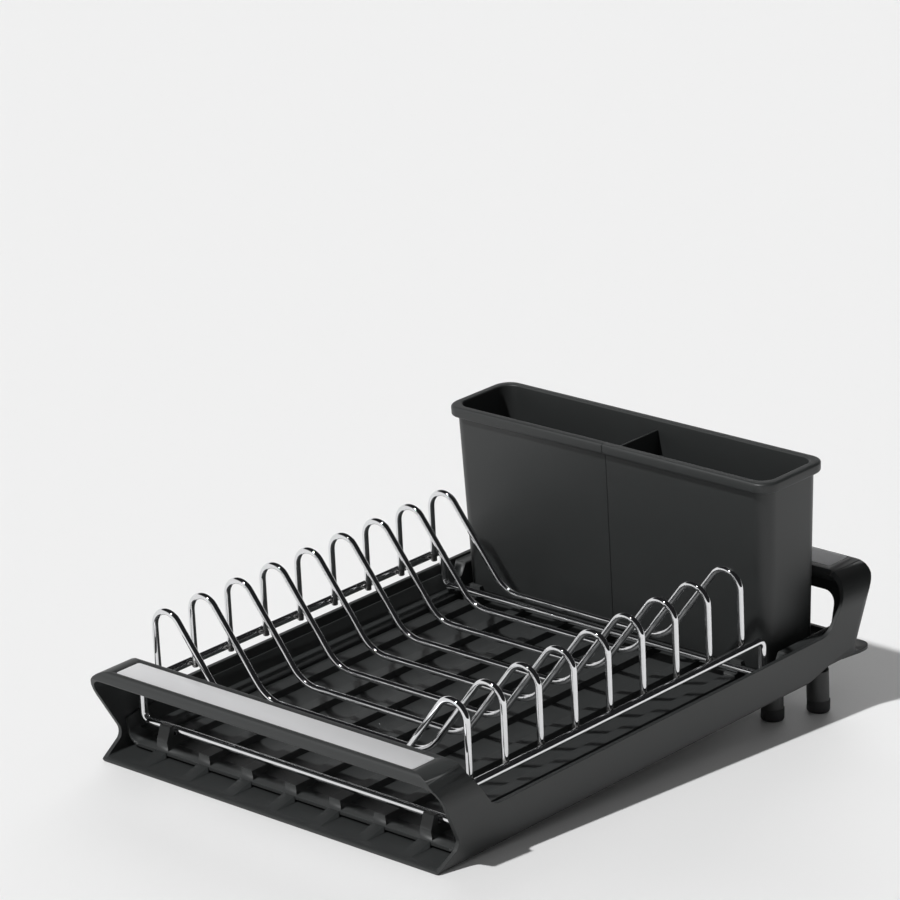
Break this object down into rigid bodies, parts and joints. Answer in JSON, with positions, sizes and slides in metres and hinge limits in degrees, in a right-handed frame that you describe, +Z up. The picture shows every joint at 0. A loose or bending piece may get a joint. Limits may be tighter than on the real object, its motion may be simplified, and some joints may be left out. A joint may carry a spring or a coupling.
{
  "type": "dish drying rack",
  "caption": "Compact dish drying rack: charcoal drain tray with end handles, loose ribbed pan, chrome wire plate rack and a tall divided cutlery caddy.",
  "frame": {"origin": "centre of the footprint's bounding box, on the worktop", "axes": "+Z up, +X across the rack, -Y towards the drain lip; the tray leans down towards -Y on its rear feet"},
  "size_m": [0.2756, 0.3984, 0.1583],
  "materials": {
    "tray_plastic": "fine satin texture",
    "pan_plastic": "fine satin texture",
    "caddy_plastic": "fine satin texture",
    "divider_plastic": "fine satin texture",
    "foot_plastic": "fine satin texture",
    "foot_rubber": "matte",
    "inlay_steel": "fine brushed along the bar",
    "wire_chrome": "bright polished"
  },
  "bodies": {
    "tray": {"tray_shell": "tray_plastic", "front_handle_inlay": "inlay_steel", "back_handle_inlay": "inlay_steel", "drain_pan": "pan_plastic", "left_inner_foot": "foot_plastic", "left_inner_foot_tip": "foot_rubber", "right_inner_foot": "foot_plastic", "right_inner_foot_tip": "foot_rubber", "left_outer_foot": "foot_plastic", "left_outer_foot_tip": "foot_rubber", "right_outer_foot": "foot_plastic", "right_outer_foot_tip": "foot_rubber"},
    "plate_rack": {"rack_frame": "wire_chrome", "plate_wire_1": "wire_chrome", "plate_wire_2": "wire_chrome", "plate_wire_3": "wire_chrome", "plate_wire_4": "wire_chrome", "plate_wire_5": "wire_chrome", "plate_wire_6": "wire_chrome", "plate_wire_7": "wire_chrome", "plate_wire_8": "wire_chrome", "plate_wire_9": "wire_chrome"},
    "caddy": {"cutlery_caddy": "caddy_plastic"},
    "divider": {"caddy_divider": "divider_plastic"}
  },
  "joints": [
    {"name": "rack_lift", "type": "slide", "parent": "tray", "child": "plate_rack", "axis": [0, -0.0687, 0.9976], "range_m": [0, 0.12]},
    {"name": "caddy_lift", "type": "slide", "parent": "tray", "child": "caddy", "axis": [0, -0.0687, 0.9976], "range_m": [0, 0.14]},
    {"name": "divider_lift", "type": "slide", "parent": "caddy", "child": "divider", "axis": [0, -0.0687, 0.9976], "range_m": [0, 0.12]}
  ]
}
